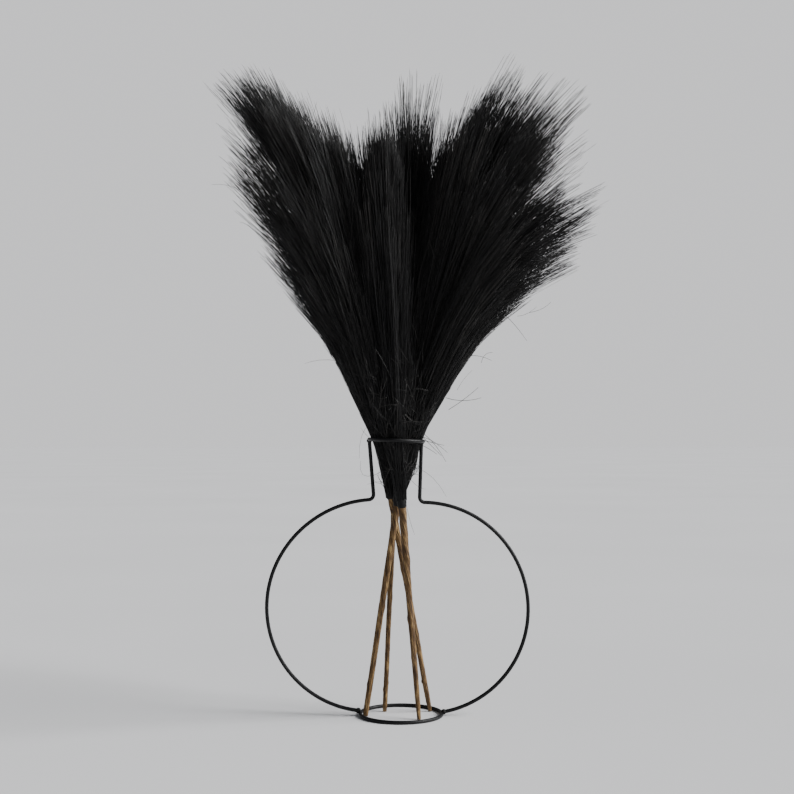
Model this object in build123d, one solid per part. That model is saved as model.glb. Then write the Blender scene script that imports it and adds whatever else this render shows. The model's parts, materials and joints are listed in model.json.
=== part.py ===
from build123d import *
import os
from math import atan2, cos, degrees, hypot, radians, sin, sqrt

# A flat wire outline vase that holds four faux pampas stems. Millimetres.
# +X is to the right along the outline, +Y to the rear and +Z up.
# The origin is the centre of the base ring, on the table.

# ---- Driving dimensions: the wire vase ----
WIRE_R = 1.25
BASE_RING_R = 27.2
NECK_RING_R = 18.2
NECK_RING_CENTRE = (-3.2, 0, 183.4)
NECK_RING_TILT = 2.2            # degrees about Y, the right end lower
CORNER_R = 3.5                  # bend where a neck leg turns into a shoulder
BEAD_R = 1.8

# Each side wire: its neck leg from top to corner, the centre of its shoulder arc, and its
# arcs from the shoulder down, as (radius, angle where the arc ends, from +X towards +Z).
LEFT_SIDE = {
    "leg": ((-21.3, 183.2), (-18.2, 143.8)),
    "outward": -1,
    "shoulder_centre": (-16.1, 69.4),
    "arcs": [(74.4, 150.7), (69.1, 263.5)],
}
RIGHT_SIDE = {
    "leg": ((13.7, 181.9), (12.4, 141.9)),
    "outward": 1,
    "shoulder_centre": (14.5, 71.7),
    "arcs": [(70.1, 39.7), (71.8, -5.6), (69.0, -79.6)],
}

# ---- Driving dimensions: the stems ----
CORE_R = 1.0                    # steel wire that runs up each stem
BORE_GAP = 0.05                 # play around the core and under a binding
FACE_GAP = 0.05                 # between a binding and its plume
BINDING_TOP = 150.0             # along the stem, where the fibres start
CORE_INSET = 3.0                # the core stops short of the stalk's foot
CORE_REACH = 0.62               # part of the plume's length that the core runs up

# foot: where the stalk's centre line meets the table.  lean: its X and Y per unit of Z.
# stalk: radius at the foot and at the top.  binding: its radius and its lower edge.
# length: of the plume along its spine.  bend: radius of the spine's arc.
# bow: the X and Y that the spine bends towards.  full: the plume's half widths, along
# and across the bow, where it is widest.  throat: its radius where it passes the ring.
STEMS = {
    "right": {
        "foot": (-23.8, -1.4), "lean": (0.1512, -0.003), "stalk": (1.85, 2.3),
        "binding": (3.2, 141.0), "length": 300.0, "bend": 560.0, "bow": (1.0, 0.12),
        "full": (41.5, 30.0), "throat": 4.3,
    },
    "centre": {
        "foot": (-11.0, 12.5), "lean": (0.045, -0.0173), "stalk": (1.6, 1.9),
        "binding": (3.1, 145.6), "length": 286.0, "bend": 2000.0, "bow": (0.0, 1.0),
        "full": (18.0, 15.5), "throat": 5.8,
    },
    "front": {
        "foot": (11.8, -12.0), "lean": (-0.080, 0.0210), "stalk": (1.6, 2.6),
        "binding": (3.4, 138.9), "length": 252.0, "bend": 2000.0, "bow": (0.35, -1.0),
        "full": (16.5, 12.8), "throat": 4.9,
    },
    "left": {
        "foot": (19.7, 12.6), "lean": (-0.183, -0.0650), "stalk": (1.65, 2.2),
        "binding": (3.1, 146.8), "length": 294.0, "bend": 900.0, "bow": (-1.0, 0.25),
        "full": (36.5, 28.0), "throat": 4.4,
    },
}

# How a plume widens: parts of its length, and how far it has gone from throat to full there.
THROAT_AT = 0.13
SWELL = [(0.32, 0.29), (0.58, 0.75), (0.82, 1.0), (0.94, 0.78), (1.0, 0.36)]


def stand(point):
    """A point of the flat outline, (x, z), placed in the outline's plane."""
    return (point[0], 0, point[1])


def on_circle(centre, radius, angle):
    """The point of a circle in the outline's plane at an angle from +X towards +Z."""
    return (centre[0] + radius * cos(radians(angle)), centre[1] + radius * sin(radians(angle)))


def arc(centre, radius, start, end):
    """An arc of the outline between two angles."""
    ends_and_middle = [on_circle(centre, radius, a) for a in (start, (start + end) / 2, end)]
    return ThreePointArc(*[stand(p) for p in ends_and_middle])


def corner(side):
    """The bend between a neck leg and its shoulder: both tangent points and the middle."""
    (top_x, top_z), (low_x, low_z) = side["leg"]
    length = hypot(low_x - top_x, low_z - top_z)
    along = ((low_x - top_x) / length, (low_z - top_z) / length)
    out = (-side["outward"] * along[1], side["outward"] * along[0])
    start = (top_x + out[0] * CORNER_R, top_z + out[1] * CORNER_R)
    shoulder = side["shoulder_centre"]
    radius = side["arcs"][0][0]
    # The bend's centre lies CORNER_R outside the leg and CORNER_R outside the shoulder arc.
    away = (start[0] - shoulder[0], start[1] - shoulder[1])
    half_b = away[0] * along[0] + away[1] * along[1]
    spare = away[0] ** 2 + away[1] ** 2 - (radius + CORNER_R) ** 2
    travel = -half_b - sqrt(half_b ** 2 - spare)
    centre = (start[0] + along[0] * travel, start[1] + along[1] * travel)
    on_leg = (centre[0] - out[0] * CORNER_R, centre[1] - out[1] * CORNER_R)
    turn = degrees(atan2(centre[1] - shoulder[1], centre[0] - shoulder[0]))
    on_shoulder = on_circle(shoulder, radius, turn)
    chord = ((on_leg[0] + on_shoulder[0]) / 2, (on_leg[1] + on_shoulder[1]) / 2)
    reach = hypot(chord[0] - centre[0], chord[1] - centre[1])
    middle = tuple(c + (m - c) * CORNER_R / reach for c, m in zip(centre, chord))
    return on_leg, middle, on_shoulder, turn


def rod(path, radius):
    """Round wire along a path."""
    return sweep(Plane(path @ 0, z_dir=path % 0) * Circle(radius), path=path)


def side_path(side):
    """The centre line of a side wire, from the neck ring down to the base ring."""
    on_leg, middle, on_shoulder, start = corner(side)
    edges = [
        Line(stand(side["leg"][0]), stand(on_leg)),
        ThreePointArc(stand(on_leg), stand(middle), stand(on_shoulder)),
    ]
    centre = side["shoulder_centre"]
    radius = side["arcs"][0][0]
    for next_radius, end in side["arcs"]:
        joint = on_circle(centre, radius, start)
        centre = on_circle(joint, next_radius, start + 180)
        radius = next_radius
        edges.append(arc(centre, radius, start, end))
        start = end
    return Wire(edges)


def ring(radius, centre, tilt):
    """A closed ring of the same wire."""
    return Pos(*centre) * Rot(0, tilt, 0) * Torus(radius, WIRE_R)


def bead(point, keep_clear):
    """A weld bead around the end of a side wire, without the wires that it joins."""
    return (Pos(*point) * Sphere(BEAD_R)) - keep_clear


def stem_frame(stem):
    """The frame of a stem: its origin at the foot, and Z up along the straight stalk."""
    lean_x, lean_y = stem["lean"]
    return Plane(
        origin=(stem["foot"][0], stem["foot"][1], 0),
        x_dir=(1, 0, -lean_x),
        z_dir=(lean_x, lean_y, 1),
    )


def spine_point(stem, travel):
    """A place on the plume's spine, in the stem's frame: point, tangent and bow direction."""
    bow_x, bow_y = stem["bow"]
    size = hypot(bow_x, bow_y)
    bow = Vector(bow_x / size, bow_y / size, 0)
    angle = travel / stem["bend"]
    start = Vector(0, 0, BINDING_TOP + FACE_GAP)
    point = start + bow * (stem["bend"] * (1 - cos(angle)))
    point = point + Vector(0, 0, stem["bend"] * sin(angle))
    tangent = Vector(0, 0, cos(angle)) + bow * sin(angle)
    across = bow * cos(angle) - Vector(0, 0, sin(angle))
    return point, tangent, across


def core_path(stem):
    """The centre line of the steel core: straight up the stalk, then bent with the plume."""
    reach = stem["length"] * CORE_REACH
    start, middle, end = [spine_point(stem, t)[0] for t in (0, reach / 2, reach)]
    return Wire([Line((0, 0, CORE_INSET), start), ThreePointArc(start, middle, end)])


def stalk(stem):
    """The paper-wrapped stalk, a slim cone, cut square so that its low edge meets the table."""
    foot_r, top_r = stem["stalk"]
    start = foot_r * hypot(*stem["lean"])
    length = BINDING_TOP - start
    cone = Pos(0, 0, start + length / 2) * Cone(foot_r, top_r, length)
    return cone - rod(core_path(stem), CORE_R + BORE_GAP)


def binding(stem):
    """The tape collar that ties the fibres to the top of the stalk."""
    outer, low = stem["binding"]
    height = BINDING_TOP - low
    bore = stem["stalk"][1] + BORE_GAP
    collar = Pos(0, 0, low + height / 2) * Cylinder(outer, height)
    collar = chamfer(collar.faces().sort_by(Axis.Z)[0].edges(), outer / 6)
    return collar - Pos(0, 0, low + height / 2) * Cylinder(bore, 2 * height)


def plume(stem):
    """The soft head of fibres: oval sections along the spine, with a channel for the core."""
    sizes = [(0, (stem["binding"][0] - FACE_GAP,) * 2), (THROAT_AT, (stem["throat"],) * 2)]
    for place, share in SWELL:
        sizes.append((place, [stem["throat"] + (f - stem["throat"]) * share for f in stem["full"]]))
    sections = []
    for place, (along, across_bow) in sizes:
        point, tangent, across = spine_point(stem, place * stem["length"])
        sections.append(Plane(origin=point, x_dir=across, z_dir=tangent) * Ellipse(along, across_bow))
    return loft(sections) - rod(core_path(stem), CORE_R + BORE_GAP)


# ---- The vase ----
nodes = {
    "base_ring": ring(BASE_RING_R, (0, 0, WIRE_R), 0),
    "neck_ring": ring(NECK_RING_R, NECK_RING_CENTRE, NECK_RING_TILT),
}
rings = nodes["base_ring"] + nodes["neck_ring"]
paths = {"left_side_wire": side_path(LEFT_SIDE), "right_side_wire": side_path(RIGHT_SIDE)}
for name, path in paths.items():
    nodes[name] = rod(path, WIRE_R) - rings

frame = [nodes[name] for name in ("base_ring", "neck_ring", *paths)]
nodes["base_weld_beads"] = Compound([bead(path @ 1, frame) for path in paths.values()])
nodes["neck_weld_beads"] = Compound([bead(path @ 0, frame) for path in paths.values()])

# ---- The stems ----
for name, stem in STEMS.items():
    place = stem_frame(stem).location
    nodes[name + "_core_wire"] = place * rod(core_path(stem), CORE_R)
    nodes[name + "_stalk"] = place * stalk(stem)
    nodes[name + "_binding"] = place * binding(stem)
    nodes[name + "_plume"] = place * plume(stem)

os.makedirs("parts", exist_ok=True)
for name, shape in nodes.items():
    export_step(shape, f"parts/{name}.step")
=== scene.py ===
import json
import math

import bpy
import numpy as np
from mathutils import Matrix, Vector


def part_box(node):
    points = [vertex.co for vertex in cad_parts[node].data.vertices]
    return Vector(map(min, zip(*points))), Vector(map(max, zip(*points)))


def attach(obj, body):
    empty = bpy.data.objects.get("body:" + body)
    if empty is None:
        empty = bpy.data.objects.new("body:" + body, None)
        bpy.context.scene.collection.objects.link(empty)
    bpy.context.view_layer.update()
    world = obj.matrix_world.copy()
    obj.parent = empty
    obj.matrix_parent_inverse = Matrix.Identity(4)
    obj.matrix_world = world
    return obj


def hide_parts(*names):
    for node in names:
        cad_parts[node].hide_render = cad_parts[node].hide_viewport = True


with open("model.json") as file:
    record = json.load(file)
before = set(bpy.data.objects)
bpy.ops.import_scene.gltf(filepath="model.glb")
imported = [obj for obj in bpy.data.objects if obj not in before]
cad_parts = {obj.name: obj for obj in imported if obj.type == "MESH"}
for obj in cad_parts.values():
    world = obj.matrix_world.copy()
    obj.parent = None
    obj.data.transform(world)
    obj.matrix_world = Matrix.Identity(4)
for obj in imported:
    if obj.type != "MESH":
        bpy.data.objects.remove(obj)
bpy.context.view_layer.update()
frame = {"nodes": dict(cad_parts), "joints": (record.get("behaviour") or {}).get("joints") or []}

MM = 0.001


# ---------------------------------------------------------------- materials

def new_material(name):
    """A material with one Principled shader: its node tree, the shader and a node maker."""
    material = bpy.data.materials.new(name)
    material.use_nodes = True
    tree = material.node_tree
    shader = tree.nodes["Principled BSDF"]

    def node(kind, **values):
        made = tree.nodes.new(kind)
        for key, value in values.items():
            if key in made.inputs:
                made.inputs[key].default_value = value
            else:
                setattr(made, key, value)
        return made

    return material, tree, shader, node


def noise(tree, node, vector, scale, detail=4.0, rough=0.55):
    """Noise over a vector, as a factor from 0 to 1."""
    made = node("ShaderNodeTexNoise", Scale=scale, Detail=detail, Roughness=rough)
    tree.links.new(vector, made.inputs["Vector"])
    return made.outputs["Fac"]


def ramp(tree, node, factor, stops):
    """A colour ramp over a factor. Stops are (place, (r, g, b))."""
    made = node("ShaderNodeValToRGB")
    elements = made.color_ramp.elements
    while len(elements) < len(stops):
        elements.new(0.5)
    for element, (place, colour) in zip(elements, stops):
        element.position = place
        element.color = (*colour, 1.0)
    tree.links.new(factor, made.inputs["Fac"])
    return made.outputs["Color"]


def spread(tree, node, factor, low, high):
    """A factor mapped from 0..1 to low..high."""
    made = node("ShaderNodeMapRange", **{"To Min": low, "To Max": high})
    tree.links.new(factor, made.inputs["Value"])
    return made.outputs["Result"]


def multiply(tree, node, colour, shade):
    """A colour darkened by another."""
    made = node("ShaderNodeMix", data_type="RGBA", blend_type="MULTIPLY")
    made.inputs["Factor"].default_value = 1.0
    tree.links.new(colour, made.inputs["A"])
    tree.links.new(shade, made.inputs["B"])
    return made.outputs["Result"]


def bump(tree, node, shader, height, distance, strength=1.0):
    """Raises the surface by a height factor times a distance in metres."""
    made = node("ShaderNodeBump", Strength=strength, Distance=distance)
    tree.links.new(height, made.inputs["Height"])
    tree.links.new(made.outputs["Normal"], shader.inputs["Normal"])


def object_point(node):
    """Positions in the object's own space, in metres."""
    return node("ShaderNodeTexCoord").outputs["Object"]


def painted_wire(name, dark, light, rough_low, rough_high, grain):
    """Black powder-coated steel: fine orange-peel grain with slightly uneven gloss."""
    material, tree, shader, node = new_material(name)
    point = object_point(node)
    blotch = noise(tree, node, point, 90.0)
    tree.links.new(ramp(tree, node, blotch, [(0.3, dark), (0.75, light)]), shader.inputs["Base Color"])
    gloss = spread(tree, node, noise(tree, node, point, 400.0), rough_low, rough_high)
    tree.links.new(gloss, shader.inputs["Roughness"])
    bump(tree, node, shader, noise(tree, node, point, grain, detail=2.0), 0.00012)
    shader.inputs["Specular IOR Level"].default_value = 0.20
    return material


def stalk_paper(name, seed):
    """Tan floral paper, wound on and mottled with dark streaks that run along the stalk.

    Reads the mesh's stalk_place attribute: two places across the stalk, which turn with the
    paper's twist, and one along it.
    """
    material, tree, shader, node = new_material(name)
    place = node("ShaderNodeAttribute", attribute_name="stalk_place").outputs["Vector"]
    streaky = node("ShaderNodeMapping", Scale=(1300.0, 1300.0, 120.0), Location=(seed, 0.0, 0.0))
    tree.links.new(place, streaky.inputs["Vector"])
    streaks = noise(tree, node, streaky.outputs["Vector"], 1.0, detail=5.0, rough=0.6)
    blotchy = node("ShaderNodeMapping", Scale=(420.0, 420.0, 75.0), Location=(0.0, seed, 0.0))
    tree.links.new(place, blotchy.inputs["Vector"])
    blotches = noise(tree, node, blotchy.outputs["Vector"], 1.0, detail=3.0)
    stops = [
        (0.30, (0.022, 0.010, 0.003)),
        (0.43, (0.080, 0.040, 0.013)),
        (0.55, (0.195, 0.113, 0.040)),
        (0.68, (0.530, 0.365, 0.160)),
    ]
    colour = ramp(tree, node, streaks, stops)
    shade = ramp(tree, node, blotches, [(0.36, (0.42, 0.36, 0.30)), (0.58, (1.0, 1.0, 1.0))])
    tree.links.new(multiply(tree, node, colour, shade), shader.inputs["Base Color"])
    tree.links.new(spread(tree, node, streaks, 0.80, 0.50), shader.inputs["Roughness"])
    bump(tree, node, shader, streaks, 0.0004, strength=0.8)
    shader.inputs["Specular IOR Level"].default_value = 0.32
    return material


def tape(name):
    """Black crepe tape: fine crinkles across the winding."""
    material, tree, shader, node = new_material(name)
    point = object_point(node)
    flat = node("ShaderNodeMapping", Scale=(1.0, 1.0, 7.0))
    tree.links.new(point, flat.inputs["Vector"])
    crinkle = noise(tree, node, flat.outputs["Vector"], 420.0, detail=3.0)
    colour = ramp(tree, node, crinkle, [(0.3, (0.003, 0.003, 0.0035)), (0.7, (0.009, 0.009, 0.009))])
    tree.links.new(colour, shader.inputs["Base Color"])
    tree.links.new(spread(tree, node, crinkle, 0.5, 0.75), shader.inputs["Roughness"])
    bump(tree, node, shader, crinkle, 0.0002)
    shader.inputs["Specular IOR Level"].default_value = 0.20
    return material


def plume_fibre(name):
    """Black plastic fibre: each hair has its own gloss, and pales a little at its tip. Its shade is
    partly its own random tone and partly painted light: the lightest tones are painted sheen, and
    the darkest are painted shade between locks.

    Reads the mesh's hair_tone and hair_along attributes.
    """
    material, tree, shader, node = new_material(name)
    tone = node("ShaderNodeAttribute", attribute_name="hair_tone").outputs["Fac"]
    along = node("ShaderNodeAttribute", attribute_name="hair_along").outputs["Fac"]
    # The lightest stop is painted sheen: hairs that get it look lit wherever they are.
    stops = [
        (0.00, (0.0045, 0.0045, 0.0050)),
        (0.50, (0.0095, 0.0095, 0.0100)),
        (0.78, (0.0210, 0.0200, 0.0195)),
        (1.00, (0.0560, 0.0540, 0.0520)),
    ]
    shade = ramp(tree, node, tone, stops)
    tip = ramp(tree, node, along, [(0.0, (0.75, 0.75, 0.75)), (1.0, (1.25, 1.22, 1.18))])
    tree.links.new(multiply(tree, node, shade, tip), shader.inputs["Base Color"])
    tree.links.new(spread(tree, node, tone, 0.55, 0.34), shader.inputs["Roughness"])
    shader.inputs["Specular IOR Level"].default_value = 0.28
    return material


def drawn_steel(name):
    """Dark drawn steel with a faint fine grain."""
    material, tree, shader, node = new_material(name)
    point = object_point(node)
    grain = noise(tree, node, point, 900.0)
    colour = ramp(tree, node, grain, [(0.3, (0.020, 0.020, 0.021)), (0.7, (0.050, 0.049, 0.047))])
    tree.links.new(colour, shader.inputs["Base Color"])
    tree.links.new(spread(tree, node, grain, 0.35, 0.6), shader.inputs["Roughness"])
    shader.inputs["Metallic"].default_value = 0.6
    return material


def pale_floor(name):
    """A plain pale matt floor."""
    material, tree, shader, node = new_material(name)
    cloud = noise(tree, node, object_point(node), 1.5, detail=2.0)
    colour = ramp(tree, node, cloud, [(0.3, (0.695, 0.695, 0.705)), (0.7, (0.735, 0.735, 0.745))])
    tree.links.new(colour, shader.inputs["Base Color"])
    shader.inputs["Roughness"].default_value = 0.9
    shader.inputs["Specular IOR Level"].default_value = 0.15
    return material


# ---------------------------------------------------------------- mesh helpers

def add_object(name, data):
    """A new object with this data, in the scene."""
    made = bpy.data.objects.new(name, data)
    bpy.context.scene.collection.objects.link(made)
    return made


def mesh_object(name, vertices, faces, material):
    """A smooth mesh object from lists of vertices and faces."""
    mesh = bpy.data.meshes.new(name)
    mesh.from_pydata([tuple(v) for v in vertices], [], faces)
    mesh.materials.append(material)
    mesh.polygons.foreach_set("use_smooth", [True] * len(mesh.polygons))
    mesh.update()
    return add_object(name, mesh)


def ring_faces(rings, sides, closed=False):
    """Quads between the rings of a tube. A closed tube's last ring also joins its first."""
    faces = []
    for i in range(rings if closed else rings - 1):
        low, high = i * sides, (i + 1) % rings * sides
        for j in range(sides):
            k = (j + 1) % sides
            faces.append((low + j, low + k, high + k, high + j))
    return faces


def unit(vector):
    """The same direction with length 1. Works on one vector or on rows of them."""
    vector = np.asarray(vector, float)
    return vector / np.linalg.norm(vector, axis=-1, keepdims=True)


def square_to(direction):
    """Two directions square to this one and to each other."""
    direction = unit(direction)
    helper = np.array((0.0, 1.0, 0.0)) if abs(direction[1]) < 0.9 else np.array((1.0, 0.0, 0.0))
    first = unit(np.cross(helper, direction))
    return first, np.cross(direction, first)


def node_points(name):
    """A CAD node's vertices in the row frame."""
    mesh = frame["nodes"][name].data
    points = np.empty(len(mesh.vertices) * 3)
    mesh.vertices.foreach_get("co", points)
    return points.reshape(-1, 3)


# ---------------------------------------------------------------- stems

END_SLICE = 0.3 * MM          # points this near a stalk's end belong to its end face


class Stem:
    """One stem: where its straight stalk and its binding run, read from the CAD frame."""

    def __init__(self, name):
        joint = next(j for j in frame["joints"] if j["child"] == name + "_stem")
        self.name = name
        self.body = joint["child"]
        self.axis = unit(joint["axis"])
        points = node_points(name + "_stalk")
        along = points @ self.axis
        self.foot, self.foot_radius = self.end_ring(points, along, along.min())
        self.stalk_top, self.top_radius = self.end_ring(points, along, along.max())
        self.stalk_length = along.max() - along.min()
        collar = node_points(name + "_binding") - self.foot
        along = collar @ self.axis
        self.binding_low, self.binding_high = along.min(), along.max()
        collar = collar - np.outer(along, self.axis)
        self.binding_radius = np.linalg.norm(collar, axis=1).max()

    def end_ring(self, points, along, place):
        """The middle and radius of the CAD stalk's end at this place along its axis."""
        ring = points[np.abs(along - place) < END_SLICE]
        first, second = square_to(self.axis)
        across = np.stack([ring @ first, ring @ second], axis=-1)
        low, high = across.min(axis=0), across.max(axis=0)
        middle = (low + high) / 2
        return first * middle[0] + second * middle[1] + self.axis * place, (high - low).max() / 2


STALK_SIDES = 26
STALK_STEP = 0.7 * MM
TOP_INSET = 1.0 * MM          # the binding closes over the stalk's top
WRAP_PITCH = 8.5 * MM         # how far up one turn of the wound paper goes
WRAP_LIP = 0.06 * MM          # how far its edge stands out
WRAP_TWIST = 2 * math.pi / (100 * MM)     # how fast the creases turn, more so near the top
CREASE_LOW, CREASE_TOP = 0.05, 0.26       # mm deep
CREASE_WAVES = ((3, 0.45), (5, 0.35), (8, 0.20))    # waves round the stalk, and their share
CREASE_DRIFT = 25             # radians per metre, at most
ANY_PHASE = (0, 6)            # radians, nearly a full turn
SWAY = 0.10                   # mm off the straight, at most
SWAY_WAVES = (9, 7)           # radians over the stalk's length
GRAIN_SHIFT = 3.7             # gives each stalk another stretch of the paper's grain
# How far each stalk narrows at its cut foot, as a share, and over how many mm.
FOOT_PINCH = {
    "right": (0.05, 4.0),
    "centre": (0.18, 3.0),
    "front": (0.20, 9.0),
    "left": (0.28, 5.0),
}
PINCH_POWER = 1.5
# Knots on each stalk: how far up (0 foot, 1 top), angle in degrees, height and length in mm.
KNOTS = {
    "right": [(0.14, 200, 0.3, 2.2), (0.49, 20, 0.5, 2.5), (0.62, 250, 0.3, 3.0), (0.86, 300, 0.4, 3.5)],
    "centre": [(0.10, 160, 0.4, 1.6), (0.13, 15, 0.3, 1.2), (0.52, 340, 0.3, 3.0), (0.71, 240, 0.3, 2.0)],
    "front": [(0.27, 210, 0.3, 2.0), (0.44, 190, 0.5, 2.6), (0.70, 330, 0.4, 3.5), (0.90, 300, 0.5, 5.0)],
    "left": [(0.14, 215, 0.8, 1.2), (0.36, 30, 0.3, 3.0), (0.66, 200, 0.3, 2.5)],
}
KNOT_FOCUS = 2.2              # how much a knot keeps to its own side of the stalk


def stalk_radius(stem, travel, height, turn, random):
    """A stalk's radius at places up and around it, and the turn of its twisted paper there."""
    radius = stem.foot_radius + (stem.top_radius - stem.foot_radius) * height
    # The foot is pinched where the stalk was cut.
    pinch, pinch_length = FOOT_PINCH[stem.name]
    radius = radius * (1 - pinch * np.exp(-(travel / (pinch_length * MM)) ** PINCH_POWER))
    # The wound paper steps up by its own thickness once a turn.
    wind = (travel / WRAP_PITCH + turn / (2 * math.pi) + random.random()) % 1.0
    radius = radius + WRAP_LIP * (0.5 - wind)
    # Its creases run round the stalk like a twisted cloth's, and are deepest near the top.
    twisted = turn + WRAP_TWIST * travel * height
    crease = (CREASE_LOW + (CREASE_TOP - CREASE_LOW) * height ** 3) * MM
    for waves, share in CREASE_WAVES:
        drift = CREASE_DRIFT * travel * random.uniform(-1, 1) + random.uniform(*ANY_PHASE)
        radius = radius + crease * share * np.sin(waves * (twisted + drift))
    length = stem.stalk_length - TOP_INSET
    for place, angle, size, span in KNOTS[stem.name]:
        around = np.cos(turn - math.radians(angle))
        reach = np.exp(-(((travel - place * length) / (span * MM)) ** 2))
        radius = radius + size * MM * reach * np.exp(KNOT_FOCUS * (around - 1))
    return radius, twisted


def build_stalk(stem, seed):
    """The paper-wrapped stalk: a slim wavy cone with the lips of the wound paper and knots."""
    random = np.random.default_rng(seed)
    steps = int(stem.stalk_length / STALK_STEP)
    first, second = square_to(stem.axis)
    level = np.linspace(0.0, 1.0, steps + 1)
    around = np.linspace(0.0, 2 * math.pi, STALK_SIDES, endpoint=False)
    height, turn = np.meshgrid(level, around, indexing="ij")
    length = stem.stalk_length - TOP_INSET
    travel = height * length
    radius, twisted = stalk_radius(stem, travel, height, turn, random)
    # A real stem is never quite straight, but its two ends stay where they are.
    centre = stem.foot + np.outer(level * length, stem.axis)
    waver = np.sin(math.pi * level) * SWAY * MM
    for waves, aside in zip(SWAY_WAVES, (first, second)):
        sway = waver * np.sin(level * waves + random.uniform(*ANY_PHASE))
        centre = centre + np.outer(sway, aside)
    ring = np.cos(turn)[..., None] * first + np.sin(turn)[..., None] * second
    vertices = (centre[:, None, :] + ring * radius[..., None]).reshape(-1, 3)
    vertices[:, 2] = np.maximum(vertices[:, 2], 0.0)
    faces = ring_faces(steps + 1, STALK_SIDES)
    faces.append(tuple(reversed(range(STALK_SIDES))))
    faces.append(tuple(range(steps * STALK_SIDES, (steps + 1) * STALK_SIDES)))
    material = stalk_paper("stalk_paper_" + stem.name, seed * GRAIN_SHIFT)
    made = mesh_object(stem.name + "_stalk_wrap", vertices, faces, material)
    place = np.stack([radius * np.cos(twisted), radius * np.sin(twisted), travel], axis=-1)
    attribute = made.data.attributes.new("stalk_place", "FLOAT_VECTOR", "POINT")
    attribute.data.foreach_set("vector", place.reshape(-1, 3).astype(np.float32).ravel())
    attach(made, stem.body)
    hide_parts(stem.name + "_stalk")


BINDING_SIDES = 32
BINDING_RIDGE = 1.3 * MM      # how high one turn of tape is
LEAST_TURNS = 4
LEVELS_PER_TURN = 4
TAPE_LIP = 0.07 * MM          # how far a turn slopes in before the next one starts
TAPE_LEAN = 0.25              # how far a turn climbs on one side, as a share of its height
TAPE_TOP = [(0.2, 0.55), (0.3, 0.3)]      # mm above the collar, and share of its radius
TAPER_LOW, TAPER_HIGH = 0.24, 0.10        # how much slimmer the collar is at its two ends
TAPER_FADE = 6                # how soon the lower taper wears off


def build_binding(stem, material):
    """The tape collar: overlapping turns of tape that thin out at both ends and close the top."""
    low, high = stem.binding_low, stem.binding_high
    profile = [(low, stem.top_radius)]
    levels = LEVELS_PER_TURN * max(LEAST_TURNS, int((high - low) / BINDING_RIDGE))
    for i in range(levels + 1):
        share = i / levels
        slope = (i % LEVELS_PER_TURN) / LEVELS_PER_TURN
        taper = 1 - TAPER_LOW * math.exp(-share * TAPER_FADE) - TAPER_HIGH * share ** 3
        radius = stem.binding_radius * taper - TAPE_LIP * slope
        profile.append((low + share * (high - low), radius))
    for rise, share in TAPE_TOP:
        profile.append((high + rise * MM, stem.binding_radius * share))
    top = profile[-1][0]
    first, second = square_to(stem.axis)
    vertices = []
    for height, radius in profile:
        for j in range(BINDING_SIDES):
            angle = 2 * math.pi * j / BINDING_SIDES
            lean = TAPE_LEAN * BINDING_RIDGE * math.sin(angle)
            out = first * math.cos(angle) + second * math.sin(angle)
            place = min(max(height + lean, low), top)
            vertices.append(stem.foot + stem.axis * place + out * radius)
    faces = ring_faces(len(profile), BINDING_SIDES, closed=True)
    made = mesh_object(stem.name + "_binding_tape", vertices, faces, material)
    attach(made, stem.body)
    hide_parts(stem.name + "_binding")


# ---------------------------------------------------------------- plumes

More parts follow.
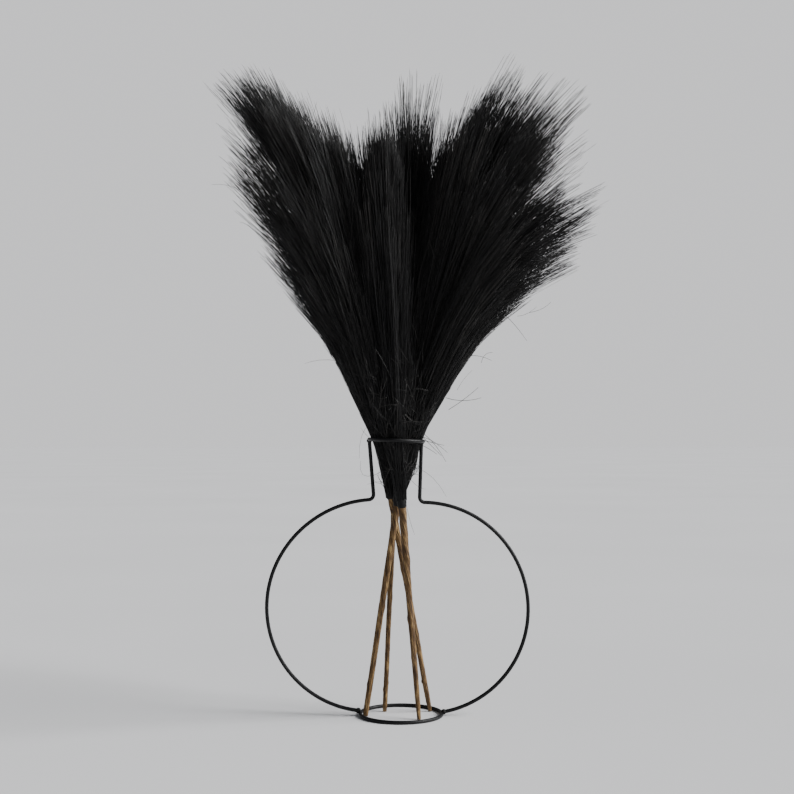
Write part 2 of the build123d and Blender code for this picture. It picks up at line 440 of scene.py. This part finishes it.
# Each plume's outline from the front, as (x, z, lean) in mm and degrees, on its left and its
# right: first over its crown, from the middle outwards, then down its skirt to where its lowest
# hairs end. lean is how far the hairs that end there point to the right of straight up.
# hairs is how many it has, in so many pieces. depth is its half depth as a share of its half
# width. reach is its longest hair in mm, and fringe how far below the outline the crown's hairs
# end, at least and at most: where that is below 0, they pass it. trim is how much shallower the
# fringe is on the skirt. gather is how much the skirt's hairs crowd to the plume's outer side,
# and outer is where that is, in degrees from +X.
PLUMES = {
    "left": {
        "left": (
            [(-86, 420, -26), (-96, 429, -30), (-110, 436, -35), (-120, 434, -42), (-127, 422, -48)],
            [
                (-127, 422, -48), (-121, 402, -46), (-127, 382, -48), (-117, 358, -46),
                (-105, 334, -44), (-94, 312, -43), (-81, 288, -40), (-68, 266, -38),
                (-56, 245, -34), (-45, 226, -30), (-35, 208, -26),
            ],
        ),
        "right": (
            [
                (-86, 420, -26), (-76, 414, -24), (-67, 408, -22), (-56, 404, -20),
                (-46, 400, -17), (-36, 394, -13), (-26, 388, -9),
            ],
            [
                (-26, 388, -9), (-17, 358, -6), (-9, 325, -4), (-4, 290, -3), (-2, 255, -3),
                (-1, 225, -3), (-1, 205, -3),
            ],
        ),
        "hairs": 10400, "pieces": 2, "depth": 0.50, "reach": 235, "fringe": (-12, 34),
        "trim": 0.40, "outer": 180, "gather": 0.40,
    },
    "centre": {
        "left": (
            [(9, 444, 2), (-1, 443, -6), (-9, 434, -11), (-14, 408, -8)],
            [
                (-14, 408, -8), (-18, 368, -4), (-18, 330, -2), (-17, 290, -2), (-14, 250, -3),
                (-10, 212, -5),
            ],
        ),
        "right": (
            [(9, 444, 2), (19, 442, 9), (27, 433, 14), (26, 408, 9)],
            [
                (26, 408, 9), (31, 382, 6), (34, 345, 4), (32, 300, 5), (24, 255, 8),
                (14, 215, 10),
            ],
        ),
        "hairs": 5200, "pieces": 1, "depth": 0.70, "reach": 235, "fringe": (-14, 66),
        "trim": 0.65, "outer": 0, "gather": 0.0,
    },
    "front": {
        "left": (
            [(-13, 401, -4), (-20, 400, -7), (-26, 386, -8)],
            [
                (-26, 386, -8), (-32, 355, -5), (-34, 320, -4), (-32, 285, -5), (-26, 250, -8),
                (-17, 215, -10),
            ],
        ),
        "right": (
            [(-13, 401, -4), (-8, 395, -2), (-3, 382, 0)],
            [(-3, 382, 0), (2, 360, 0), (5, 330, 0), (6, 290, 0), (6, 250, 2), (5, 210, 3)],
        ),
        "hairs": 5000, "pieces": 1, "depth": 0.75, "reach": 200, "fringe": (-11, 30),
        "trim": 0.65, "outer": 0, "gather": 0.0,
    },
    "right": {
        "left": (
            [
                (84, 446, 34), (76, 449, 33), (65, 437, 30), (55, 421, 26), (48, 416, 22),
                (40, 420, 19), (31, 411, 14), (24, 390, 8),
            ],
            [
                (24, 390, 8), (14, 368, 5), (9, 335, 4), (9, 300, 4), (8, 260, 5), (6, 225, 6),
                (4, 205, 6),
            ],
        ),
        "right": (
            [
                (84, 446, 34), (91, 439, 38), (96, 424, 42), (104, 417, 45), (112, 422, 46),
                (121, 427, 48), (132, 410, 54),
            ],
            [
                (132, 410, 54), (128, 388, 58), (119, 373, 52), (129, 364, 60), (141, 356, 66),
                (144, 338, 70), (136, 320, 68), (117, 299, 62), (98, 281, 56), (81, 264, 52),
                (65, 247, 48), (51, 230, 44), (39, 214, 40), (31, 203, 36),
            ],
        ),
        "hairs": 15300, "pieces": 3, "depth": 0.52, "reach": 225, "fringe": (-12, 64),
        "trim": 0.48, "outer": 0, "gather": 0.45,
    },
}

# Root, bend and tip of single loose hairs, as (x, y, z) in mm.
LOOSE_HAIRS = {
    "left": [
        [(-38, 4, 236), (-52, 2, 240), (-65, 0, 235)],
        [(-76, 4, 296), (-84, 2, 304), (-94, 0, 308)],
        [(-104, 6, 350), (-116, 4, 359), (-129, 4, 357)],
        [(-64, 4, 392), (-60, 2, 402), (-57, 0, 413)],
        [(-16, 4, 196), (-29, 2, 194), (-28, 0, 171)],
        [(-9, 2, 158), (-16, 0, 150), (-20, -2, 160)],
        [(-10, 2, 164), (-30, 0, 152), (-27, -2, 170)],
        [(-12, 2, 178), (-24, 0, 186), (-27, 0, 192)],
    ],
    "right": [
        [(66, 4, 272), (76, 2, 264), (85, 0, 250)],
        [(32, 0, 204), (42, -2, 210), (52, -3, 219)],
        [(30, 0, 212), (42, -2, 208), (54, -3, 212)],
        [(43, 2, 240), (52, 0, 242), (61, -1, 237)],
        [(12, -4, 190), (22, -6, 184), (30, -7, 169)],
        [(13, -5, 186), (22, -7, 184), (31, -8, 175)],
        [(12, -5, 188), (20, -7, 180), (27, -8, 173)],
        [(13, -2, 184), (20, -4, 182), (29, -5, 180)],
        [(12, -3, 181), (19, -6, 178), (24, -8, 174)],
    ],
    "front": [
        [(5, -8, 166), (20, -12, 165), (30, -13, 146)],
        [(2, -10, 150), (4, -13, 134), (9, -14, 121)],
        [(3, -10, 158), (11, -13, 164), (14, -14, 158)],
        [(-5, -12, 196), (2, -18, 186), (12, -16, 190)],
    ],
}


CORE_SHARE = 0.62             # the core's length in the plume, as a share of the plume's
CORE_END = 0.5 * MM           # points this near the core's end belong to its end face
DEPTH_SPLAY = 0.22            # how much hairs point to the front or back at a plume's outside


class Spine:
    """The line that a plume's hairs grow from: the arc of the stem's steel core."""

    def __init__(self, stem):
        self.start = stem.stalk_top
        self.axis = stem.axis
        core = node_points(stem.name + "_core_wire")
        along = (core - self.start) @ self.axis
        end = core[along > along.max() - CORE_END].mean(axis=0) - self.start
        lift = end @ self.axis
        aside = end - self.axis * lift
        self.bow = unit(aside)
        # The arc leaves along the stalk and passes through the end of the core.
        self.radius = (end @ end) / (2 * np.linalg.norm(aside))
        self.core_length = self.radius * math.atan2(lift, self.radius - np.linalg.norm(aside))

    def at(self, travel):
        """Points and tangents at distances along the spine."""
        angle = (travel / self.radius)[..., None]
        point = self.start + self.axis * self.radius * np.sin(angle)
        point = point + self.bow * self.radius * (1 - np.cos(angle))
        return point, self.axis * np.cos(angle) + self.bow * np.sin(angle)


def along_line(points, share):
    """Places along a line of (x, z, lean) points, at shares of its length, in metres and radians."""
    points = np.array(points, float) * (MM, MM, math.radians(1))
    steps = np.linalg.norm(np.diff(points[:, :2], axis=0), axis=1)
    travel = np.concatenate([[0.0], np.cumsum(steps)])
    return np.stack([np.interp(share * travel[-1], travel, points[:, i]) for i in range(3)])


def along_outline(side, ring):
    """Places on one side of a plume's outline. ring is 0 to 1 on its crown, 1 to 2 on its skirt."""
    crown, skirt = side
    on_crown = along_line(crown, np.minimum(ring, 1.0))
    on_skirt = along_line(skirt, np.maximum(ring - 1.0, 0.0))
    return np.where(ring < 1, on_crown, on_skirt)


def dome(plume, spine, ring, turn):
    """Points on a plume's brush-like outside, by ring and by turn, and the way hairs point there."""
    left = along_outline(plume["left"], ring)
    right = along_outline(plume["right"], ring)
    x, z, lean = left + (right - left) * (1 + np.cos(turn)) / 2
    half_width = np.hypot(*(right - left)[:2]) / 2
    lift = (z - spine.start[2]) / spine.axis[2]
    middle_y = spine.at(np.clip(lift, 0.0, spine.core_length / CORE_SHARE))[0][..., 1]
    y = middle_y + half_width * plume["depth"] * np.sin(turn)
    heading = np.stack([np.sin(lean), DEPTH_SPLAY * np.sin(turn), np.cos(lean)], axis=-1)
    return np.stack([x, y, z], axis=-1), unit(heading)


NECK_LIMIT = 15.9 * MM        # how far out hairs may be where they pass the neck ring
LEAST_LIMIT = 5 * MM          # and the least that this limit is anywhere
FLARE_ABOVE = 0.56            # how fast that limit widens above the ring
FLARE_BELOW_X = 0.18          # and narrows below it, across and along the line of sight
FLARE_BELOW_Y = 0.08
LEAN_ABOVE, LEAN_BELOW = 0.05, 0.12     # how much the bunch keeps to the right
NECK_REACH = 55 * MM          # how far above the ring it still holds the hairs in
NECK_DEPTH = 18 * MM          # how far below it
NECK_FADE = 14 * MM           # over which that wears off, further down
NECK_EASE = 0.25              # hairs start to give way at this share short of the limit


def through_neck(points):
    """Presses hairs together so that they pass inside the neck ring."""
    low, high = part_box("neck_ring")
    middle = (np.array(low) + np.array(high)) / 2
    rise = points[..., 2] - middle[2]
    lean = np.where(rise > 0, LEAN_ABOVE * np.minimum(rise, NECK_REACH), -LEAN_BELOW * rise)
    aside = np.stack([lean, np.zeros_like(rise)], axis=-1)
    flare_x = np.where(rise > 0, FLARE_ABOVE, FLARE_BELOW_X)
    flare_y = np.where(rise > 0, FLARE_ABOVE, FLARE_BELOW_Y)
    flat = points[..., :2] - middle[:2] - aside
    limit = NECK_LIMIT + np.stack([flare_x * rise, flare_y * rise], axis=-1)
    share = np.linalg.norm(flat / np.maximum(limit, LEAST_LIMIT), axis=-1)
    over = np.maximum(share - (1 - NECK_EASE), 0.0)
    eased = (1 - NECK_EASE) + NECK_EASE * (1 - np.exp(-over / NECK_EASE))
    pressed = np.where(over > 0, eased, share) / np.maximum(share, 1e-9)
    near = np.clip(1.0 - (rise - NECK_REACH) / NECK_REACH, 0.0, 1.0)
    near = near * np.clip(1.0 + (rise + NECK_DEPTH) / NECK_FADE, 0.0, 1.0)
    points = points.copy()
    points[..., :2] = middle[:2] + aside + flat * (1 + (pressed - 1) * near)[..., None]
    return points


HAIR_PLACES = np.array((0.0, 0.2, 0.4, 0.6, 0.8, 0.985, 1.0))
HAIR_RADIUS = 0.17 * MM
HAIR_TIP = 0.60               # radius just short of the tip, as a share of the root's
HAIR_SIDES = 3


def arched(start, low, high, tip, share):
    """Points on cubic curves with two handles, one curve a row, at each row's shares."""
    t = share[..., None]
    start, low, high, tip = (part[:, None] for part in (start, low, high, tip))
    ends = (1 - t) ** 3 * start + t ** 3 * tip
    return ends + 3 * t * (1 - t) ** 2 * low + 3 * t ** 2 * (1 - t) * high


def curved(start, handle, tip):
    """Points on quadratic curves, one curve a row, at HAIR_PLACES."""
    t = HAIR_PLACES[:, None]
    start, handle, tip = start[:, None], handle[:, None], tip[:, None]
    return (1 - t) ** 2 * start + 2 * t * (1 - t) * handle + t ** 2 * tip


HAIRS_PER_TUFT = 8
LOCKS_PER_PLUME = 34
LOCK_PULL = 0.45              # how far tufts gather into locks
LOCK_SIZE = 0.16              # a lock's width, as a share of the plume's half width
CROWN_SHARE = 0.55            # of the tufts end on the crown and the rest on the skirt
SKIRT_START = 0.9             # the ring where the crown's ways turn into the skirt's
SKIRT_BLEND = 0.3             # and over how much of a ring they do
CROWN_HAIR = (0.5, 1.0)       # a crown hair's length, as a share of the plume's reach
SKIRT_HAIR = (60 * MM, 140 * MM)
ROOT_REACH = 0.65             # the highest roots, as a share of the core's length
BASE_SHARE = 0.30             # of the tufts start at the binding
FRINGE_POWER = 0.5            # below 1, few hairs reach the outline and the fringe is thin
DEEP_SHARE = 0.16             # of the tufts end well inside the plume
DEEPEST = 50 * MM             # and this much deeper, at most
ROOT_SCATTER = 5              # mm along the spine between a tuft's hairs
ROOT_AREA = (0.05, 0.85)      # where roots stand across the binding, as a share of its area
OVER_BINDING = 0.4            # of the lowest hairs lie over the binding
OVER_RADIUS = 1.03            # at this share of its radius
SLEEVE = 6 * MM               # how deep the lowest roots stand in the binding, at most
SLEEVE_SHARE = 0.7            # and at most this share of its height
SLEEVE_LEAST = 0.2            # the shallowest of them, as a share of the deepest
ALONG_SPINE = 0.4             # how much hairs leave along the spine
HANDLE = 0.35                 # how far along a hair its ends' directions hold
TIP_SCATTER = 2.6             # mm between a tuft's tips
END_SCATTER = 3.0             # mm that a tuft's hairs differ in length
SHORTEST = 0.3                # of a hair's way to the outline is there at least
TUFT_WAVE, HAIR_WAVE = 2.2, 1.8         # mm that a tuft and a hair of it bend off their way
TIP_WAVE = 0.45               # how much of that is left near the tip
WAVY_LENGTH = 150 * MM        # shorter hairs bend less
# A tuft's tone is partly random and partly painted light: its lock's share makes whole locks lighter, as
# painted sheen, or darker, as painted shade between them.
TUFT_SHADE, LOCK_SHADE = 0.45, 0.55     # what makes up a tuft's tone
SHARED_TONE, OWN_TONE = 0.7, 0.3        # and a hair's


def tuft_discs(tufts, random):
    """Where tufts stand on a plume, gathered in locks: ring 0 to 2, turn, and lock number."""
    def scatter(count):
        crown = np.sqrt(random.random(count))
        skirt = 1 + random.random(count)
        ring = np.where(random.random(count) < CROWN_SHARE, crown, skirt)
        turn = random.uniform(0, 2 * math.pi, count)
        return np.stack([ring * np.cos(turn), ring * np.sin(turn)], axis=-1)

    locks, disc = scatter(LOCKS_PER_PLUME), scatter(tufts)
    gaps = np.linalg.norm(disc[:, None] - locks[None], axis=-1)
    pull = LOCK_PULL * np.exp(-(gaps.min(axis=1) / LOCK_SIZE) ** 2)
    pull = np.where(np.linalg.norm(disc, axis=1) < 1, pull, pull / 2)
    lock = gaps.argmin(axis=1)
    disc = disc + (locks[lock] - disc) * pull[:, None]
    ring = np.clip(np.linalg.norm(disc, axis=1), 0, 2)
    return ring, np.arctan2(disc[:, 1], disc[:, 0]), lock


def tuft_roots(plume, spine, tips, on_skirt, random):
    """How far up the spine tufts start: one hair's length below their tips."""
    tufts = len(tips)
    far = np.linalg.norm(tips - spine.start, axis=1)
    on_crown = plume["reach"] * MM * random.uniform(*CROWN_HAIR, tufts)
    length = on_crown + (random.uniform(*SKIRT_HAIR, tufts) - on_crown) * on_skirt
    root = np.clip(far - length, 0.0, ROOT_REACH * spine.core_length)
    return np.where(random.random(tufts) < BASE_SHARE, 0.0, root)


def fringe_depths(plume, on_skirt, random):
    """How far below the plume's outline tufts end."""
    tufts = len(on_skirt)
    least, most = plume["fringe"]
    short = (least + (most - least) * random.random(tufts) ** FRINGE_POWER) * MM
    deep = random.random(tufts) < DEEP_SHARE
    short = np.where(deep, short + DEEPEST * random.random(tufts), short)
    return short * (1 - plume["trim"] * on_skirt)


def hair_starts(stem, spine, root, random):
    """Where hairs start around the spine, and the spine's direction there.

    The lowest roots stand in the binding, and some lie over it and hide its upper part.
    """
    hairs = len(root)
    root = np.clip(root + random.normal(0, ROOT_SCATTER, hairs) * MM, 0, None)
    start, tangent = spine.at(root)
    first, second = square_to(spine.axis)
    swing = random.uniform(0, 2 * math.pi, hairs)
    over = (random.random(hairs) < OVER_BINDING) & (root == 0)
    share = np.where(over, OVER_RADIUS, np.sqrt(random.uniform(*ROOT_AREA, hairs)))
    around = stem.binding_radius * share
    start = start + first * (around * np.cos(swing))[:, None]
    start = start + second * (around * np.sin(swing))[:, None]
    sleeve = min(SLEEVE, SLEEVE_SHARE * (stem.binding_high - stem.binding_low))
    sunk = np.where(root > 0, 0.0, random.uniform(SLEEVE_LEAST, 1.0, hairs) * sleeve)
    return start - spine.axis * sunk[:, None], tangent


def tuft_hairs(stem, spine, plume, count, random):
    """Centre lines and tones of a plume's hairs. They grow in tufts that meet at their tips.
    The tones are partly random and partly painted sheen and shade, lock by lock.
    """
    tufts = count // HAIRS_PER_TUFT
    hairs = tufts * HAIRS_PER_TUFT

    def each_hair(values):
        return np.repeat(values, HAIRS_PER_TUFT, axis=0)

    ring, turn, lock = tuft_discs(tufts, random)
    on_skirt = np.clip((ring - SKIRT_START) / SKIRT_BLEND, 0, 1)
    outer = math.radians(plume["outer"])
    aside = (turn - outer + math.pi) % (2 * math.pi) - math.pi
    turn = outer + aside * (1 - plume["gather"] * on_skirt)
    tips, heading = dome(plume, spine, ring, turn)
    # Whole locks get a lighter or darker shade: painted sheen on lit streaks, painted shade in the gaps.
    shade = TUFT_SHADE * random.random(tufts) + LOCK_SHADE * random.random(LOCKS_PER_PLUME)[lock]
    root = tuft_roots(plume, spine, tips, on_skirt, random)
    short = fringe_depths(plume, on_skirt, random)

    start, tangent = hair_starts(stem, spine, each_hair(root), random)
    tip = each_hair(tips) + random.normal(0, TIP_SCATTER, (hairs, 3)) * MM
    chord = tip - start
    size = np.linalg.norm(chord, axis=1, keepdims=True)
    chord = chord / size
    # A hair leaves partly along the spine and partly so that it bends evenly up to its tip.
    heading = each_hair(heading)
    even = 2 * (chord * heading).sum(axis=1, keepdims=True) * chord - heading
    leaving = unit(tangent * ALONG_SPINE + even * (1 - ALONG_SPINE))
    wavy = np.minimum(size / WAVY_LENGTH, 1)
    wave = each_hair(random.normal(0, TUFT_WAVE, (tufts, 3)) * MM) * wavy
    wave = wave + random.normal(0, HAIR_WAVE, (hairs, 3)) * MM * wavy
    low = start + leaving * size * HANDLE + wave
    high = tip - heading * size * HANDLE + TIP_WAVE * wave
    missing = each_hair(short) + np.abs(random.normal(0, END_SCATTER, hairs)) * MM
    end = np.maximum(1 - missing / size[:, 0], SHORTEST)
    tone = SHARED_TONE * each_hair(shade) + OWN_TONE * random.random(hairs)
    return through_neck(arched(start, low, high, tip, end[:, None] * HAIR_PLACES)), tone


LOOSE_BEND = 1.5              # mm that a loose hair bends off straight

# Loose hairs on the skirt: their ring on the plume, how far in they start as a share of the
# way to the stalk's top, their size in mm, and how much they lean out.
STRAY_RING = (0.8, 1.95)
STRAY_INSET = (0.06, 0.16)
STRAY_SIZE = (10, 24)
STRAY_LEAN = (0.1, 0.9)
STRAY_CENTRE = 0.85           # they lean away from the spine at this share of that way

# Where fuzz starts, in mm above the binding, and round which part of the stem: from 0 at +X,
# by half turns, so that -0.5 is the front.
FUZZ_SPAN = {"left": (3, 48), "centre": (3, 48), "front": (10, 85), "right": (4, 60)}
FUZZ_TURN = {"left": (0, 2), "centre": (0, 2), "front": (-0.9, -0.1), "right": (-0.8, 0.8)}
FUZZ_WIDENS = 0.24            # how fast the plume widens under it
FUZZ_SIZE = (6, 22)           # mm
FUZZ_ALONG = (-0.1, 1.0)      # how much it points along the spine, around it and outwards
FUZZ_AROUND = 0.38
FUZZ_OUT = 0.18


def bent_hairs(start, tip, random):
    """Loose hairs from start to tip, each with a slight bend."""
    handle = (start + tip) / 2 + random.normal(0, LOOSE_BEND, start.shape) * MM
    return curved(start, handle, tip)


def stray_hairs(spine, plume, count, random):
    """Loose hairs that stand out a little from the plume's skirt."""
    ring = random.uniform(*STRAY_RING, count)
    turn = random.uniform(0, 2 * math.pi, count)
    edge = dome(plume, spine, ring, turn)[0]
    inward = spine.start - edge
    start = edge + inward * random.uniform(*STRAY_INSET, count)[:, None]
    centre = spine.at(np.linalg.norm(inward, axis=1) * STRAY_CENTRE)[0]
    out = unit(start - centre)
    size = random.uniform(*STRAY_SIZE, count)[:, None] * MM
    lean = random.uniform(*STRAY_LEAN, count)[:, None]
    tip = start + unit(unit(-inward) + out * lean) * size
    return bent_hairs(start, tip, random)


def fuzz_hairs(stem, spine, count, random):
    """Short crossed hairs that the binding has bent out of line, around the plume's neck."""
    travel = random.uniform(*FUZZ_SPAN[stem.name], count) * MM
    start, tangent = spine.at(travel)
    first, second = square_to(spine.axis)
    turn = random.uniform(*FUZZ_TURN[stem.name], count) * math.pi
    out = first * np.cos(turn)[:, None] + second * np.sin(turn)[:, None]
    around = -first * np.sin(turn)[:, None] + second * np.cos(turn)[:, None]
    start = start + out * (stem.binding_radius + travel * FUZZ_WIDENS)[:, None]
    size = random.uniform(*FUZZ_SIZE, count)[:, None] * MM
    heading = tangent * random.uniform(*FUZZ_ALONG, count)[:, None]
    heading = heading + around * random.normal(0, FUZZ_AROUND, count)[:, None]
    heading = heading + out * np.abs(random.normal(0, FUZZ_OUT, count))[:, None]
    return through_neck(bent_hairs(start, start + unit(heading) * size, random))


def hand_laid_hairs(name):
    """The few long loose hairs of a plume that catch the eye, laid one by one."""
    places = np.array(LOOSE_HAIRS[name], float) * MM
    return curved(places[:, 0], places[:, 1], places[:, 2])


def hair_faces(rings):
    """The faces of one hair: quads between its rings, and triangles that close both its ends."""
    faces = ring_faces(rings, HAIR_SIDES)
    faces.append(tuple(reversed(range(HAIR_SIDES))))
    last, point = HAIR_SIDES * (rings - 1), HAIR_SIDES * rings
    for k in range(HAIR_SIDES):
        faces.append((last + k, last + (k + 1) % HAIR_SIDES, point))
    return faces


SEAM_SIDE = np.array((0.0, 1.0, 0.05))    # a direction that no hair takes exactly


def hair_mesh(name, paths, thickness, tone, material, random):
    """Tapered hairs along the paths, each a closed mesh of its own.

    Every hair carries two numbers for the material: hair_tone, its shade, partly its own random
    tone and partly painted sheen and shade, and hair_along, which runs from 0 at its root to 1
    at its tip.
    """
    hairs, points = paths.shape[:2]
    rings = points - 1
    tangent = unit(np.gradient(paths, axis=1))
    first = unit(np.cross(tangent, SEAM_SIDE))
    second = np.cross(tangent, first)
    radius = thickness[:, None] * (1 - (1 - HAIR_TIP) * HAIR_PLACES ** 2)[None, :]
    spin = random.uniform(0, 2 * math.pi, hairs)
    corners = []
    for k in range(HAIR_SIDES):
        angle = spin + 2 * math.pi * k / HAIR_SIDES
        out = first * np.cos(angle)[:, None, None] + second * np.sin(angle)[:, None, None]
        corners.append(paths + out * radius[..., None])
    # One hair's vertices are its rings, from the root up, and then the point of its tip.
    sides = np.stack(corners, axis=2)[:, :rings]
    block = rings * HAIR_SIDES + 1
    vertices = np.empty((hairs, block, 3))
    vertices[:, :-1] = sides.reshape(hairs, block - 1, 3)
    vertices[:, -1] = paths[:, -1]
    faces = hair_faces(rings)
    loops = np.concatenate(faces)[None] + (np.arange(hairs) * block)[:, None]
    totals = np.tile([len(face) for face in faces], hairs)
    starts = np.cumsum(totals) - totals
    mesh = bpy.data.meshes.new(name)
    mesh.vertices.add(hairs * block)
    mesh.vertices.foreach_set("co", vertices.astype(np.float32).ravel())
    mesh.loops.add(loops.size)
    mesh.loops.foreach_set("vertex_index", loops.astype(np.int32).ravel())
    mesh.polygons.add(len(totals))
    mesh.polygons.foreach_set("loop_start", starts.astype(np.int32))
    mesh.polygons.foreach_set("loop_total", totals.astype(np.int32))
    mesh.polygons.foreach_set("use_smooth", np.ones(len(totals), bool))
    mesh.materials.append(material)
    mesh.update(calc_edges=True)
    mesh.validate()
    along = np.append(np.repeat(HAIR_PLACES[:rings], HAIR_SIDES), 1.0)
    attributes = {"hair_tone": np.repeat(tone, block), "hair_along": np.tile(along, hairs)}
    for label, values in attributes.items():
        attribute = mesh.attributes.new(label, "FLOAT", "POINT")
        attribute.data.foreach_set("value", values.astype(np.float32))
    return add_object(name, mesh)


STRAYS_PER_PIECE = 16
FUZZ_PER_PIECE = {"left": 26, "centre": 10, "front": 150, "right": 60}
# How thick hairs are, as a share of HAIR_RADIUS, and the tones of the loose ones, whose
# lighter end is painted sheen that makes loose hairs look lit.
TUFT_SIZE = (0.75, 1.25)
LOOSE_SIZE = (0.60, 0.95)
LOOSE_TONE = {"left": (0.3, 1.0), "centre": (0.3, 1.0), "front": (0.45, 1.0), "right": (0.3, 1.0)}
HAND_LAID_SIZE = {"left": 0.8, "front": 0.8, "right": 1.2}
HAND_LAID_TONE = (0.0, 0.5)


def build_plume(stem, material, seed):
    """A stem's plume of loose hairs, in one to three pieces."""
    random = np.random.default_rng(seed)
    plume = PLUMES[stem.name]
    spine = Spine(stem)
    count = plume["hairs"] // plume["pieces"] // 1
    for part in range(plume["pieces"]):
        tufts, tuft_tone = tuft_hairs(stem, spine, plume, count, random)
        strays = stray_hairs(spine, plume, STRAYS_PER_PIECE, random)
        fuzz = fuzz_hairs(stem, spine, FUZZ_PER_PIECE[stem.name], random)
        loose = len(strays) + len(fuzz)
        paths = [tufts, strays, fuzz]
        thickness = [random.uniform(*TUFT_SIZE, len(tufts)), random.uniform(*LOOSE_SIZE, loose)]
        tone = [tuft_tone, random.uniform(*LOOSE_TONE[stem.name], loose)]
        if part == 0 and stem.name in LOOSE_HAIRS:
            laid = hand_laid_hairs(stem.name)
            paths.append(laid)
            thickness.append(np.full(len(laid), HAND_LAID_SIZE[stem.name]))
            tone.append(random.uniform(*HAND_LAID_TONE, len(laid)))
        paths, tone = np.concatenate(paths), np.concatenate(tone)
        thickness = HAIR_RADIUS * np.concatenate(thickness)
        name = f"{stem.name}_plume_hair_{part + 1}"
        made = hair_mesh(name, paths, thickness, tone, material, random)
        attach(made, stem.body)
        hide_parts(stem.name + "_plume")


# ---------------------------------------------------------------- the object

wire_paint = painted_wire(
    "black_wire", (0.004, 0.004, 0.0045), (0.009, 0.009, 0.0095), 0.30, 0.44, 5200.0
)
weld_paint = painted_wire(
    "weld", (0.004, 0.004, 0.004), (0.012, 0.011, 0.010), 0.42, 0.65, 2600.0
)
steel = drawn_steel("core_wire")
crepe = tape("binding_tape")
hair_black = plume_fibre("plume_fibre")

NODE_PAINTS = {"ring": wire_paint, "side_wire": wire_paint, "beads": weld_paint, "core_wire": steel}
for node_name, cad_node in frame["nodes"].items():
    for ending, paint in NODE_PAINTS.items():
        if node_name.endswith(ending):
            for material_slot in cad_node.material_slots:
                material_slot.material = paint

for number, stem_name in enumerate(("right", "centre", "front", "left")):
    one = Stem(stem_name)
    build_stalk(one, 11 + number)
    build_binding(one, crepe)
    build_plume(one, hair_black, 101 + number)


# ---------------------------------------------------------------- stage, light and camera

FLOOR_HALF = 30.0
bpy.ops.mesh.primitive_plane_add(size=2 * FLOOR_HALF, location=(0, 0, 0))
floor = bpy.context.object
floor.name = "floor"
floor.data.materials.append(pale_floor("floor"))

BACKDROP = (0.98, 0.98, 1.0, 1.0)
BACKDROP_STRENGTH = 0.885
FILL = (0.92, 0.95, 1.0, 1.0)
FILL_STRENGTH = 0.20

# The camera sees a pale backdrop, and the object is lit by a dimmer one of the same kind.
world = bpy.data.worlds.new("studio")
bpy.context.scene.world = world
world.use_nodes = True
sky = world.node_tree
fill = sky.nodes["Background"]
fill.inputs["Color"].default_value = FILL
fill.inputs["Strength"].default_value = FILL_STRENGTH
backdrop = sky.nodes.new("ShaderNodeBackground")
backdrop.inputs["Color"].default_value = BACKDROP
backdrop.inputs["Strength"].default_value = BACKDROP_STRENGTH
seen = sky.nodes.new("ShaderNodeLightPath")
choose = sky.nodes.new("ShaderNodeMixShader")
sky.links.new(seen.outputs["Is Camera Ray"], choose.inputs[0])
sky.links.new(fill.outputs[0], choose.inputs[1])
sky.links.new(backdrop.outputs[0], choose.inputs[2])
sky.links.new(choose.outputs[0], sky.nodes["World Output"].inputs["Surface"])

# One very soft light from the right, like a large window.
SUN_POWER = 6.5
SUN_ANGLE = 40                # degrees across
SUN_FROM = (1.0, -0.14, 0.62)
sun = bpy.data.lights.new("window", "SUN")
sun.energy = SUN_POWER
sun.angle = math.radians(SUN_ANGLE)
sun_object = add_object("window", sun)
sun_object.rotation_euler = Vector(SUN_FROM).to_track_quat("Z", "Y").to_euler()

CAMERA_PLACE = (-2.7 * MM, -851 * MM, 183.7 * MM)
CAMERA_PITCH = 1.94           # degrees up from level
CAMERA_LENS = 57.4            # mm, on a 36 mm sensor
camera = bpy.data.cameras.new("camera")
camera.lens = CAMERA_LENS
camera.sensor_width = 36.0
camera.clip_start = 0.01
camera_object = add_object("camera", camera)
camera_object.location = CAMERA_PLACE
camera_object.rotation_euler = (math.radians(90 + CAMERA_PITCH), 0, 0)
bpy.context.scene.camera = camera_object
